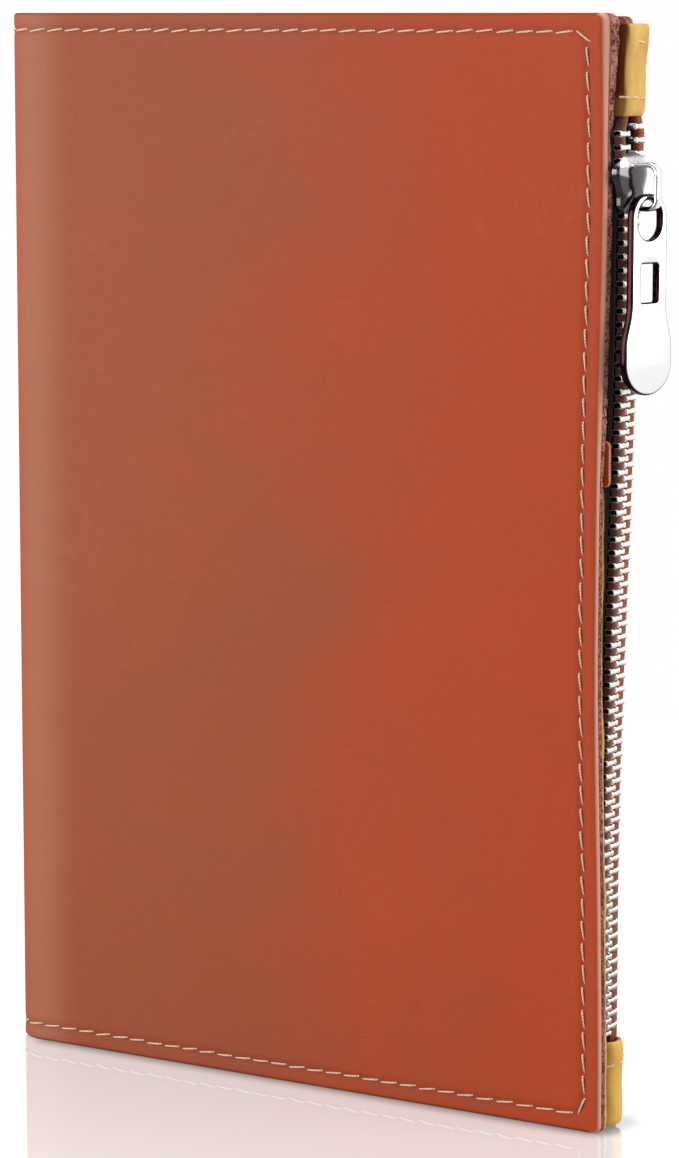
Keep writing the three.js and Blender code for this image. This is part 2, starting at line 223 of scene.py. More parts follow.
def thickSheet(long, tall, longLines, tallLines, style):
    # a slab as one closed skin: the outer grid, rings round the rim, and the inner grid.
    # Returns length, height and depth of each point, how far round the rim it is, and the quads.
    thick, bevel, corner = style["leather"], style["bevel"], style["corner"]
    innerBevel = style.get("innerBevel", bevel)
    rows, columns = len(tallLines), len(longLines)
    every = np.arange(rows * columns)
    index = every.reshape(rows, columns)
    border = np.concatenate([index[0, :-1], index[:-1, -1], index[-1, :0:-1], index[:0:-1, 0]])
    profile = []
    for angle in np.linspace(0, math.pi / 2, 6)[1:]:
        profile.append((bevel * (1 - math.sin(angle)), bevel * (1 - math.cos(angle)), angle / math.pi))
    for share in (0.35, 0.7):
        profile.append((0, bevel + (thick - bevel - innerBevel) * share, 1))
    for angle in np.linspace(0, math.pi / 2, 4)[:-1]:
        drop = innerBevel * math.cos(angle)
        profile.append((innerBevel - drop, thick - innerBevel + innerBevel * math.sin(angle), 1))
    parts = []
    for inset, depth, rim in [(bevel, 0, 0), *profile, (innerBevel, thick, 0.8)]:
        chosen = every if len(parts) in (0, len(profile) + 1) else border
        u, v = roundedGrid(long, tall, longLines, tallLines, inset, corner)
        same = np.ones(len(chosen))
        parts.append(np.stack([u.ravel()[chosen], v.ravel()[chosen], depth * same, rim * same]))
    count = len(border)
    rings = [border] + [rows * columns + k * count + np.arange(count) for k in range(len(profile))]
    innerFirst = rows * columns + len(profile) * count
    rings.append(innerFirst + border)
    quads = [gridQuads(rows, columns), gridQuads(rows, columns, first=innerFirst)[:, ::-1]]
    for ring, following in zip(rings[:-1], rings[1:]):
        quads.append(np.stack([ring, np.roll(ring, -1), np.roll(following, -1), following], -1))
    return (*np.concatenate(parts, 1), np.concatenate(quads))


# Shader helpers

def colour(red, green, blue):
    # a colour read off a screen, 0 to 255, as the linear values that a shader takes
    def linear(c):
        c /= 255
        return c / 12.92 if c <= 0.04045 else ((c + 0.055) / 1.055) ** 2.4
    return (linear(red), linear(green), linear(blue), 1.0)


def mathMethod(operation, swap=False):
    # a method that adds one Math node, its two inputs swapped for a reflected form
    def method(self, other=None):
        values = [other, self] if swap else [self, other]
        inputs = {k: v for k, v in enumerate(values) if v is not None}
        return self.nodes.add("ShaderNodeMath", inputs, operation=operation)
    return method


class Value:
    # a socket whose arithmetic adds Math nodes
    def __init__(self, nodes, socket):
        self.nodes, self.socket = nodes, socket

    __add__ = __radd__ = mathMethod("ADD")
    __sub__ = mathMethod("SUBTRACT")
    __rsub__ = mathMethod("SUBTRACT", swap=True)
    __mul__ = __rmul__ = mathMethod("MULTIPLY")
    __truediv__ = mathMethod("DIVIDE")
    __rtruediv__ = mathMethod("DIVIDE", swap=True)
    __pow__ = mathMethod("POWER")
    __rpow__ = mathMethod("POWER", swap=True)
    sine = mathMethod("SINE")
    size = mathMethod("ABSOLUTE")
    most = mathMethod("MAXIMUM")

    def between(self, low, high):
        # 0 below low, 1 above high and a soft step between
        inputs = {"Value": self, "From Min": low, "From Max": high}
        return self.nodes.add("ShaderNodeMapRange", inputs, interpolation_type="SMOOTHSTEP")


class Finish:
    # the nodes of a material or a world, whose add method makes any node
    def __init__(self, owner, output="ShaderNodeOutputMaterial"):
        self.owner = owner
        owner.use_nodes = True
        self.tree = owner.node_tree
        self.tree.nodes.clear()
        self.output = self.tree.nodes.new(output)
        self.place = self.add("ShaderNodeTexCoord", result="Object")

    def add(self, kind, inputs=None, result=0, **settings):
        node = self.tree.nodes.new(kind)
        for key, value in settings.items():
            setattr(node, key, value)
        for key, value in (inputs or {}).items():
            if isinstance(value, Value):
                self.tree.links.new(value.socket, node.inputs[key])
            else:
                node.inputs[key].default_value = value
        return Value(self, node.outputs[result])

    def axes(self):
        parts = self.add("ShaderNodeSeparateXYZ", {0: self.place}).socket.node.outputs
        return [Value(self, part) for part in parts]

    def layer(self, name):
        return self.add("ShaderNodeAttribute", result="Fac", attribute_name=name)

    def noise(self, scale, detail=2.0, roughness=0.5, distortion=0.0, vector=None):
        inputs = {"Vector": vector or self.place, "Scale": scale, "Detail": detail,
                  "Roughness": roughness, "Distortion": distortion}
        return self.add("ShaderNodeTexNoise", inputs)

    def stretched(self, x, y, z):
        return self.add("ShaderNodeMapping", {"Vector": self.place, "Scale": (x, y, z)})

    def cells(self, scale):
        return self.add("ShaderNodeTexVoronoi", {"Vector": self.place, "Scale": scale})

    def blend(self, share, low, high):
        return self.add("ShaderNodeMix", {0: share, 6: low, 7: high}, 2, data_type="RGBA")

    def bump(self, value, distance, strength=1.0, under=None):
        inputs = {"Height": value, "Distance": distance, "Strength": strength}
        if under is not None:
            inputs["Normal"] = under
        return self.add("ShaderNodeBump", inputs)

    def emission(self, strength):
        return self.add("ShaderNodeEmission", {"Color": (1, 1, 1, 1), "Strength": strength})

    def dot(self, first, second):
        inputs = {0: first, 1: second}
        return self.add("ShaderNodeVectorMath", inputs, "Value", operation="DOT_PRODUCT")

    def rays(self):
        # whether a ray comes from the camera, and whether it is a mirrored one
        outputs = self.add("ShaderNodeLightPath").socket.node.outputs
        return Value(self, outputs["Is Camera Ray"]), Value(self, outputs["Is Glossy Ray"])

    def mix(self, share, first, second):
        return self.add("ShaderNodeMixShader", {0: share, 1: first, 2: second})

    def finish(self, shader):
        self.tree.links.new(shader.socket, self.output.inputs["Surface"])
        return self.owner

    def surface(self, sockets, shadeShare=None, shadeTone=None):
        # a Principled surface; where the given share is 1 there is a dull one of the given tone instead,
        # used to paint shade
        shader = self.add("ShaderNodeBsdfPrincipled", sockets)
        if shadeShare is not None:
            dull = self.add("ShaderNodeBsdfDiffuse", {"Color": shadeTone})
            shader = self.mix(shadeShare, shader, dull)
        return self.finish(shader)


def newFinish(name):
    return Finish(bpy.data.materials.new(name))


leather = {
    # muted brown, and towards the spine the painted sheen
    "mutedAndSheen": colour(171, 84, 52),
    "rust": colour(194, 74, 33),
    "light": colour(192, 124, 96),
    "dark": colour(112, 48, 32),
    "burnishAndHighlight": colour(240, 174, 150),
    "fibre": colour(240, 164, 146),
    "pit": colour(92, 24, 16),
    "rawLowTone": colour(122, 44, 26),
    "cloudScale": 15,
    "patchScale": 60,
    "grainScale": 1500,
    "poreScale": 2300,
    "fibreScale": 1400,
}
mustard = {
    "low": colour(214, 160, 72),
    "high": colour(232, 192, 104),
    "foot": colour(255, 200, 96),  # where the lower tab catches the light
    "pore": colour(150, 98, 40),
    "rawLow": colour(150, 88, 46),
    "rawHigh": colour(232, 188, 124),
    "tabShadeTone": colour(96, 34, 12),  # the shaded inner side of a tab
}
cloth = {
    "low": colour(134, 50, 22),
    "high": colour(204, 98, 54),
    "worn": colour(140, 58, 30),
    "shaded": colour(44, 16, 12),
    "rise": 9000,  # threads of the herringbone, radians a metre
    "run": 5200,
}
thread = {
    "low": colour(244, 186, 144),
    "high": colour(255, 234, 206),
    "plies": 14,
}
metal = {
    "nickel": (0.90, 0.90, 0.91, 1),
    # painted reflection: dark maroon on the pull's flanks for the leather they mirror
    "pullFlankReflection": (0.024, 0.009, 0.009, 1),
    # the slider's base darkened to stand in for the dark room it reflects: a painted dark reflection
    "castPaintedDark": (0.10, 0.092, 0.095, 1),
    # painted highlight for the top of the slider's dome
    "crown": (0.85, 0.85, 0.86, 1),
    "teeth": (0.90, 0.88, 0.84, 1),
}


def coverLeather():
    # cloudy waxed leather: broad clouds between two browns, fine grain and raw rims, with painted light:
    # a sheen towards the spine, a highlight along the spine's rounding and a light bevel at the fore edge
    f = newFinish("coverLeather")
    x, y, z = f.axes()
    cloud = f.noise(leather["cloudScale"], 4, 0.55, 0.5)
    patch = f.noise(leather["patchScale"], 4, 0.6, 0.3)
    fleck = f.noise(420, 3, 0.6)
    # painted sheen: across the sheet the tone goes from the muted brown at the spine to rust at the fore
    # edge; the clouds and patches mix the two as the leather's own tone
    across = (x - spineX) / (edgeX - spineX)
    share = (across * 1.35 + cloud * 1.5 + patch * 0.25 - 1.16).between(0.0, 1.0)
    tone = f.blend(share, leather["mutedAndSheen"], leather["rust"])
    shade = (cloud * 0.35 + patch * 0.35 + fleck * 0.3 - 0.5) * 0.5
    tone = f.blend(shade.between(0.0, 0.14) * 0.26, tone, leather["light"])
    tone = f.blend((0 - shade).between(0.0, 0.14) * 0.22, tone, leather["dark"])
    # painted highlight along the spine's rounding
    tone = f.blend(f.layer("paintedSpineHighlight") * (0.5 + patch * 0.3), tone, leather["light"])
    grain = f.noise(leather["grainScale"], 3, 0.6)
    pore = f.cells(leather["poreScale"]).between(0.0, 0.5)
    tone = f.blend((1 - pore) * 0.10, tone, leather["dark"])
    tone = f.blend(f.layer("seam") * 0.30, tone, leather["dark"])
    rim = f.layer("rim")
    fibres = f.noise(leather["fibreScale"], 5, 0.75, 1.2)
    strands = f.noise(260, 4, 0.7, 0.8, f.stretched(1, 1, 2.2))
    lower = 1 - z.between(95 * mm, 150 * mm)
    fray = fibres * 0.7 + strands * 0.3 - lower * 0.02
    raw = f.blend(fray.between(0.42, 0.56), leather["pit"], leather["fibre"])
    # the raw edge darker towards the bottom
    raw = f.blend(lower * 0.25, raw, leather["rawLowTone"])
    raw = f.blend(f.noise(130, 3, 0.6).between(0.35, 0.7) * 0.35, raw, leather["dark"])
    # the bevel: light pink near the fore edge, a burnish with a painted highlight where the right lamp
    # falls, and dark elsewhere
    foreHighlight = (x - edgeX).between(-1.9 * mm, -0.9 * mm)
    worn = f.blend(foreHighlight, leather["dark"], leather["burnishAndHighlight"])
    tone = f.blend(rim.between(0.05, 0.3) * (0.6 + foreHighlight * 0.4), tone, worn)
    tone = f.blend(rim.between(0.48 - lower * 0.1, 0.9 - lower * 0.22), tone, raw)
    rough = 0.52 + patch * 0.12 + rim * 0.3 + fleck * 0.06
    face = f.bump(pore * 0.6 + grain * 0.5 + fleck * 0.7, 0.00006, 0.75)
    ragged = f.bump((fibres + strands) * rim.between(0.4, 0.9), 0.0005, 0.9, face)
    return f.surface({"Base Color": tone, "Roughness": rough, "Normal": ragged, "Specular IOR Level": 0.26})


def pocketLeather():
    # mustard leather, waxed, with soft darker clouds and fine pores, painted light towards the foot
    # and painted shade on the tabs' legs
    f = newFinish("pocketLeather")
    z = f.axes()[2]
    cloud = f.noise(90, 3, 0.6)
    pore = f.cells(2600).between(0.0, 0.45)
    fleck = f.noise(700, 3, 0.6)
    tone = f.blend(cloud.between(0.3, 0.7), mustard["low"], mustard["high"])
    # painted light: lighter towards the foot, where the lower tab catches the light
    tone = f.blend((1 - z.between(12 * mm, 30 * mm)) * 0.6, tone, mustard["foot"])
    tone = f.blend((1 - pore) * 0.16 + fleck.between(0.5, 0.8) * 0.12, tone, mustard["pore"])
    raw = f.blend(f.noise(1100, 4, 0.7).between(0.35, 0.65), mustard["rawLow"], mustard["rawHigh"])
    tone = f.blend(f.layer("rim").between(0.3, 0.9) * 0.8, tone, raw)
    sockets = {"Base Color": tone, "Roughness": 0.48 + fleck * 0.16, "Specular IOR Level": 0.4,
               "Normal": f.bump(pore * 0.5 + fleck * 0.7, 0.00006, 0.5)}
    # painted shade: a dull dark brown on the tabs' legs, where the covers shade them
    return f.surface(sockets, f.layer("paintedTabShade"), mustard["tabShadeTone"])


def tapeCloth():
    # woven tape: a fine herringbone, the product of two slanting sine waves, with painted shade
    # in near black where the flange attribute is 1
    f = newFinish("tapeCloth")
    x, y, z = f.axes()
    rise, run = z * cloth["rise"], (x + y) * cloth["run"]
    weave = ((rise + run).sine() * 0.5 + 0.5) * ((rise - run).sine() * 0.5 + 0.5)
    tone = f.blend(weave, cloth["low"], cloth["high"])
    tone = f.blend(f.noise(500, 3).between(0.4, 0.7) * 0.3, tone, cloth["worn"])
    # painted shade: near black on the tape between the covers and on the shaded parts of the cords
    tone = f.blend(f.layer("flange"), tone, cloth["shaded"])
    return f.surface({"Base Color": tone, "Roughness": 0.82, "Normal": f.bump(weave, 0.00012, 0.7),
                      "Sheen Weight": 0.25})


def seamThread():
    # waxed two-ply thread, its twist drawn along each stitch
    f = newFinish("seamThread")
    twist = (f.layer("twist") * thread["plies"]).sine() * 0.5 + 0.5
    tone = f.blend(twist, thread["low"], thread["high"])
    return f.surface({"Base Color": tone, "Roughness": 0.55, "Normal": f.bump(twist, 0.00008, 0.7),
                      "Specular IOR Level": 0.35})


def platedMetal(name, tone, roughness, scratch, layer=None, layerTone=None):
    # plated metal with faint smears and scratches, layerTone where the attribute called layer is 1;
    # the pull and the slider use it for a painted reflection and a painted highlight
    f = newFinish(name)
    smear = f.noise(300, 3, 0.6)
    scratches = f.noise(900, 3, 0.7, 0.2, f.stretched(1.0, 1.0, 0.12))
    rough = roughness + smear * 0.08 + scratches.between(0.5, 0.8) * scratch
    if layer:
        tone = f.blend(f.layer(layer), tone, layerTone)
    return f.surface({"Base Color": tone, "Metallic": 1.0, "Roughness": rough,
                      "Normal": f.bump(smear, 0.00002, 0.25)})


leatherFinish = coverLeather()
pocketFinish = pocketLeather()
tapeFinish = tapeCloth()
threadFinish = seamThread()
nickelFinish = platedMetal("polishedNickel", metal["nickel"], 0.05, 0.05)
pullFinish = platedMetal("pullNickel", metal["nickel"], 0.05, 0.05, "side", metal["pullFlankReflection"])
# the slider: a base darkened as a painted dark reflection, with a painted highlight on the dome's top
castFinish = platedMetal("castNickel", metal["castPaintedDark"], 0.09, 0.06, "crown", metal["crown"])
teethFinish = platedMetal("platedTeeth", metal["teeth"], 0.32, 0.06)
print("stage: finishes made")


# The cover: one thick sheet folded round the spine

spineRadius = halfThick
coverStraight = edgeX - spineX - spineRadius
coverLength = 2 * coverStraight + math.pi * spineRadius
coverPath = [(coverStraight, None), (math.pi * spineRadius, spineRadius), (coverStraight, None)]


def foreShare(along):
    # 1 at either fore edge of the folded sheet, falling to 0 some way in
    fromEdge = np.minimum(along, coverLength - along)
    return np.clip(1 - fromEdge / sheet["reach"], 0, 1) ** 2


def drawnIn(z, isBack):
    # how far the fore edge is drawn in at a height: the front half at its middle, leaning out again at
    # the foot, and the back half all the way down and by its shortness
    lower = smoothStep(z, 175 * mm, 112 * mm)
    front = sheet["bow"] * lower * smoothStep(z, 40 * mm, 92 * mm)
    front = front - sheet["footLean"] * smoothStep(z, 60 * mm, 6 * mm)
    return np.where(isBack, sheet["backShort"] + sheet["bow"] * lower, front)


def seamNearness(along, z):
    # 1 on the seam line, 0 a millimetre off: the line is a rounded rectangle inside the outline
    inset, corner = seam["inset"], seam["corner"]
    dx = np.abs(along - coverLength / 2) - (coverLength / 2 - inset - corner)
    dz = np.abs(z - height / 2) - (height / 2 - inset - corner)
    outside = np.hypot(np.maximum(dx, 0), np.maximum(dz, 0))
    distance = np.abs(outside + np.minimum(np.maximum(dx, dz), 0) - corner)
    return np.exp(-(distance / (0.75 * mm)) ** 2)


def coverPoint(along, z, depth):
    # a point of the folded sheet: the path in plan, with a soft crown of two sines, the bowed fore
    # edge, the raw edge leaning out above the pocket, the swollen upper corner, which fades as
    # exp(-distance^2), the lower back edge and the groove under the seam
    thick = sheet["leather"]
    skin = 1 - np.clip(depth / thick, 0, 1)
    fromEdge = np.minimum(along, coverLength - along)
    crown = np.sin(np.pi * np.clip(fromEdge / coverStraight, 0, 1))
    crown = crown * np.sin(np.pi * np.clip(z / height, 0, 1))
    corner = np.exp(-((height - z) / (17 * mm)) ** 2) * np.exp(-(fromEdge / (11 * mm)) ** 2)
    ripple = np.sin(z * 61 + along * 23) * np.sin(z * 37 - along * 41 + 1.1) * 0.12 * mm
    lift = sheet["crown"] * crown + sheet["swell"] * corner * skin + ripple * np.clip(crown * 3, 0, 1)
    lift = lift - sheet["groove"] * seamNearness(along, z) * skin
    x, y = followPath(along, depth - lift, (edgeX, -halfThick), math.pi, coverPath)
    isBack = along > coverLength / 2
    drawn = drawnIn(z, isBack)
    splay = sheet["splay"] * smoothStep(z, 118 * mm, 134 * mm)
    splay = splay + sheet["topSplay"] * smoothStep(z, height - 22 * mm, height - 4 * mm)
    splay = splay * (1 - skin) * np.exp(-fromEdge / (3 * mm)) * ~isBack
    inBack = smoothStep(along, coverLength / 2, coverLength / 2 + 40 * mm)
    z = z - sheet["backLow"] * inBack * smoothStep(z, height - 40 * mm, height)
    return gathered(x - drawn * foreShare(along) + splay, y, z)


def makeCover():
    # the sheet's slab bent by coverPoint, its raw rim roughened by a little noise along x and z
    near = np.array([0, 0.6, 1.3, 2.0, 2.5, 2.9, 3.3, 3.7, 4.1, 4.7, 5.6, 7.0]) * mm
    longLines = sheetLines(coverLength, near, 2.2 * mm)
    tallLines = sheetLines(height, near, 0.8 * mm)
    along, z, depth, rim, quads = thickSheet(coverLength, height, longLines, tallLines, sheet)
    rng = np.random.default_rng(7)
    ragged = (rim > 0.9) * rng.normal(0, 0.07 * mm, rim.size)
    points = coverPoint(along, np.clip(z, 0, height), depth)
    points[:, 0] += ragged * (np.abs(points[:, 0] - edgeX) < 3 * mm)
    points[:, 2] -= np.where(z > height / 2, np.abs(ragged), -np.abs(ragged))
    points[:, 2] = np.maximum(points[:, 2], 0)
    toSpine = np.abs(along - coverLength / 2) - math.pi * spineRadius / 2
    # painted highlight: a band round the spine's outer face
    paintedSpineHighlight = np.exp(-((toSpine - 1.5 * mm) / (5.0 * mm)) ** 2) * (depth < sheet["bevel"])
    layers = {"rim": rim, "paintedSpineHighlight": paintedSpineHighlight, "seam": seamNearness(along, z) * (depth < 1e-6)}
    makePiece("folded_cover", points, quads, "wallet", leatherFinish,
              ["outer_cover"], layers)


makeCover()
print("stage: cover made")


# The stitching: short arched dashes in one loop round the sheet

def stitchRun(centres, directions, place, length, width, lift):
    # each stitch is a thread that rises from its hole, lies flat and dives again, lift (1 - a^5) - dip a^5,
    # thinner at its first end, its section an ellipse. place maps sheet coordinates to space.
    stations, sides = 9, 7
    a = np.linspace(-1, 1, stations)[:, None]
    body = 1 - np.abs(a) ** 5
    full = 0.78 + 0.22 * a
    radius = width / 2 * (0.62 + 0.38 * body) * full
    rise = lift * body * full - (width / 2) * np.abs(a) ** 5
    angle = wholeTurn(sides)
    across = radius * np.cos(angle)
    up = rise + radius * np.sin(angle) * 0.85
    forward = a * length / 2
    cu, cv = centres[:, 0, None, None], centres[:, 1, None, None]
    du, dv = directions[:, 0, None, None], directions[:, 1, None, None]
    u = cu + forward * du - across * dv
    v = cv + forward * dv + across * du
    points = place(u, v, np.broadcast_to(-up, u.shape))
    tube = gridQuads(stations, sides, closeColumns=True)
    ends = np.array([[0, 1, 2, 3], [0, 3, 4, 5], [0, 5, 6, 6]])
    one = np.concatenate([tube, ends[:, ::-1], ends + (stations - 1) * sides])
    quads = repeated(one, len(centres), stations * sides)
    twist = np.broadcast_to(a * 1.6 + angle / 14, u.shape)
    return points.reshape(-1, 3), quads, twist.ravel()


def seamLoop():
    # centres and directions of the stitches, evenly spaced on a rounded rectangle in the sheet
    inset, corner = seam["inset"], seam["corner"]
    long, tall = coverLength - 2 * inset, height - 2 * inset
    straightU, straightV = long - 2 * corner, tall - 2 * corner
    quarter = math.pi * corner / 2
    total = 2 * (straightU + straightV) + 4 * quarter
    count = round(total / seam["pitch"])
    path = [(straightU, None), (quarter, corner), (straightV, None), (quarter, corner)] * 2
    at = (np.arange(count) + 0.5) * total / count
    start = (inset + corner, height - inset)
    step = 0.05 * mm
    u, v = followPath(at, 0 * at, start, 0.0, path)
    u2, v2 = followPath(at + step, 0 * at, start, 0.0, path)
    direction = np.stack([u2 - u, v2 - v], -1) / step
    level = np.abs(direction[:, 0]) > np.abs(direction[:, 1])
    forward = np.where(level, -np.sign(direction[:, 0]), np.sign(direction[:, 1]))
    return np.stack([u, v], -1), direction * forward[:, None]


def makeSeams():
    # the dashes of seamLoop, each turned by the slant and a little chance
    centres, directions = seamLoop()
    rng = np.random.default_rng(11)
    turn = seam["slant"] + rng.normal(0, math.radians(1.6), len(centres))
    cos, sin = np.cos(turn), np.sin(turn)
    turned = np.stack([directions[:, 0] * cos - directions[:, 1] * sin,
                       directions[:, 0] * sin + directions[:, 1] * cos], -1)
    centres = centres + rng.normal(0, 0.05 * mm, centres.shape)
    isFront = centres[:, 0] < coverLength / 2
    for half, chosen in (("front", isFront), ("back", ~isFront)):
        points, quads, twist = stitchRun(centres[chosen], turned[chosen], coverPoint,
                                         seam["length"], seam["width"], seam["lift"])
        makePiece(half + "_stitches", points, quads, "wallet", threadFinish,
                  [half + "_seam"], {"twist": twist})


makeSeams()
print("stage: seams made")


# The pocket panels: thin sheets against the inside of the cover

pocket = {"leather": 0.9 * mm, "wave": 0.36 * mm, "bevel": 0.3 * mm, "corner": 1.0 * mm}
inside = halfThick - sheet["leather"]


def makePocket(name, node, side, material, waves, follow, proud):
    # a panel inside the cover: follow is the share of the cover's bow that it takes, proud how far its
    # edge stands beyond its place. The edge waves by two sines of z, which fade as exp(-distance)
    low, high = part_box(node)
    long, tall = high[0] - low[0], high[2] - low[2]
    near = np.array([0, 0.3, 0.8, 1.6, 3.0]) * mm
    longLines = sheetLines(long, near, 6 * mm)
    tallLines = sheetLines(tall, near[:3], 1.2 * mm)
    along, rise, depth, rim, quads = thickSheet(long, tall, longLines, tallLines, pocket)
    z = low[2] + rise
    edge = np.exp(-along / (5 * mm))
    wave = pocket["wave"] * edge * (np.sin(z * 190 * waves) + 0.6 * np.sin(z * 437 * waves + 1)) * 0.5
    drawn = drawnIn(z, side > 0) * np.clip(1 - along / sheet["reach"], 0, 1) ** 2
    y = side * (inside - np.clip(depth + np.abs(wave), 0, 2 * mm))
    points = gathered(high[0] - along - drawn * follow + wave * 0.6 + proud * edge, y, z)
    makePiece(name, points, quads, "wallet", material, [node], {"rim": rim})


makePocket("front_pocket_panel", "front_pocket", -1, pocketFinish, 1.0, 1.0, -0.2 * mm)
makePocket("back_pocket_panel", "back_pocket", 1, pocketFinish, 1.2, 1.0, 0.0)
makePocket("pocket_mouth_strip", "pocket_trim", -1, leatherFinish, 0.4, 0.0, 0.35 * mm)


# The zip: bead cords, tapes and teeth follow the chain, held off by the slider and settled below it

sliderLow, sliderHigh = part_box("slider_body")
teethLow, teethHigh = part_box("back_teeth")
chain = {
    "width": 5.7 * mm,
    "clearance": 0.2 * mm,  # between the chain and the tapes
    "pitch": 2.44 * mm,
    "depth": 1.9 * mm,
    "lift": teethHigh[0] - edgeX,  # how far it stands proud at the slider
    "sink": 0.45 * mm,  # how far it sinks behind the fore edge at the foot
    "settle": 35 * mm,  # up to this height it stays sunk
    "riseDrop": 4 * mm,  # it is fully proud this far below the slider
    "split": 1.6 * mm,  # how far each row is held off in the slider
    "spread": 1.9 * mm,  # and above it
    "closing": 1.3 * mm,  # how far it comes back at the upper tab
    "reach": 0.75 * mm,  # how far a tooth goes past the middle
    "firstTooth": 0.7 * mm,  # from the row's end to its first tooth
    "cord": 2.2 * mm,
    "cordDepth": 1.5 * mm,
    "tape": 0.4 * mm,
    "sewn": 12 * mm,  # how far in the tape goes
    "tabEnter": 0.9 * mm,  # how far the cord goes into the tabs
}
chainHalf = chain["width"] / 2
roomHalf = chainHalf + chain["clearance"]
sliderLength = sliderHigh[2] - sliderLow[2]
chainLow, chainHigh = teethLow[2], teethHigh[2]


def chainFront(z):
    # the front of the chain against height, a smooth step from sunk to proud
    share = smoothStep(z, chain["settle"], sliderLow[2] - chain["riseDrop"])
    return edgeX - chain["sink"] + (chain["lift"] + chain["sink"]) * share


def rowOffset(z):
    # how far a row is held off the middle: split in the slider, spread above it, back at the tab
    inSlider = smoothStep(z, sliderLow[2] + sliderLength * 0.17, sliderHigh[2] - sliderLength * 0.17)
    above = smoothStep(z, sliderHigh[2], (sliderHigh[2] + chainHigh) / 2)
    closing = smoothStep(z, chainHigh - 3 * mm, chainHigh + chain["tabEnter"]) * chain["closing"]
    return inSlider * chain["split"] + above * (chain["spread"] - chain["split"]) - closing


def makeTape(name, node, side):
    # behind the cord the tape goes back between the covers and is sewn against the pocket
    ends = (chainLow - chain["tabEnter"], chainHigh + chain["tabEnter"])
    z = np.linspace(*ends, 240)
    wall = chain["tape"]
    rear = chainFront(z) - chain["depth"] - 0.1 * mm
    outer = roomHalf + rowOffset(z)
    against, inner = roomHalf - 0.03 * mm, roomHalf - wall
    sewn = edgeX - chain["sewn"]
    section = [(rear - wall, against), (sewn, against), (sewn, inner), (rear, inner),
               (rear, outer), (rear - wall, outer)]
    strip = np.stack([gathered(x, side * y, z) for x, y in section], 1)
    # the cord bulges between the teeth that grip it: 1 - 0.05 cos of the way from one to the next
    z = np.linspace(*ends, 900)[:, None]
    shift = chain["pitch"] / 2 if side > 0 else 0
    cos, sin = squaredOff(wholeTurn(16), 0.6)
    fromTooth = (z - chainLow - chain["firstTooth"] - shift) / chain["pitch"]
    swell = 1 - 0.05 * np.cos(2 * np.pi * fromTooth)
    middleX = chainFront(z) - chain["depth"] / 2
    middleY = chainHalf + rowOffset(z) - chain["cord"] / 2
    cord = gathered(middleX + chain["cordDepth"] / 2 * swell * cos,
                    side * (middleY + chain["cord"] / 2 * sin), z)
    points, quads = joinShells([(strip, tubeQuads(240, 6)), (cord, tubeQuads(900, 16))])
    # painted shade for the flange attribute: the whole tape strip between the covers, the front cord's
    # outer side beside the cover's edge, and the back cord towards the foot
    isTape = np.arange(len(points)) < strip.size // 3
    fromMiddle = np.abs(points[:, 1]) - rowOffset(points[:, 2])
    inShade = smoothStep(fromMiddle, 0.9 * mm, 2.3 * mm) * 0.8 * (side < 0)
    paintedFootShade = smoothStep(points[:, 2], 80 * mm, 35 * mm) * 0.3 * (side > 0)
    flange = np.where(isTape, 1.0, inShade + paintedFootShade)
    makePiece(name, points, quads, "wallet", tapeFinish, [node], {"flange": flange})


def toothShape():
    # a tooth across the chain: y from its legs to its tip, the section a rounded box whose height
    # and depth change along it: legs with a wider end, a neck, then a round head
    y, tall, deep = np.array([
        [1.00, 0.99, 0.95, 0.90, 0.50, 0.38, 0.30, 0.21, 0.12, 0.05, 0.015, 0.00],
        [0.46, 0.60, 0.64, 0.50, 0.50, 0.42, 0.38, 0.48, 0.58, 0.54, 0.38, 0.18],
        [0.66, 0.90, 0.95, 0.95, 0.95, 0.93, 0.88, 0.92, 0.95, 0.88, 0.62, 0.30]])[:, :, None]
    span = chainHalf + chain["reach"]
    cos, sin = squaredOff(wholeTurn(12) + np.pi / 12, 0.4)
    points = gathered(deep * mm * cos, y * span - chain["reach"], tall * mm * sin)
    return points.reshape(-1, 3), tubeQuads(12, 12)


def makeTeeth(name, node, side, shift):
    # copies of the tooth one pitch apart, along the chain's front and their row's offset
    points, quads = toothShape()
    first = chain["firstTooth"]
    z = np.arange(chainLow + first + shift, chainHigh - first, chain["pitch"])
    centre = gathered(chainFront(z) - chain["depth"] / 2, rowOffset(z), z)
    row = points[None] + centre[:, None, :]
    row[:, :, 1] *= side
    quads = repeated(quads if side > 0 else quads[:, ::-1], len(z), len(points))
    makePiece(name, row, quads, "wallet", teethFinish, [node])


makeTape("back_tape", "back_zip_tape", 1)
makeTape("front_tape", "front_zip_tape", -1)
makeTeeth("back_tooth_row", "back_teeth", 1, chain["pitch"] / 2)
makeTeeth("front_tooth_row", "front_teeth", -1, 0)
print("stage: zip chain made")


# The tabs over the ends of the zip

tab = {"leather": 1.0 * mm, "bevel": 0.32 * mm, "corner": 0.6 * mm, "topBend": 1.7 * mm}


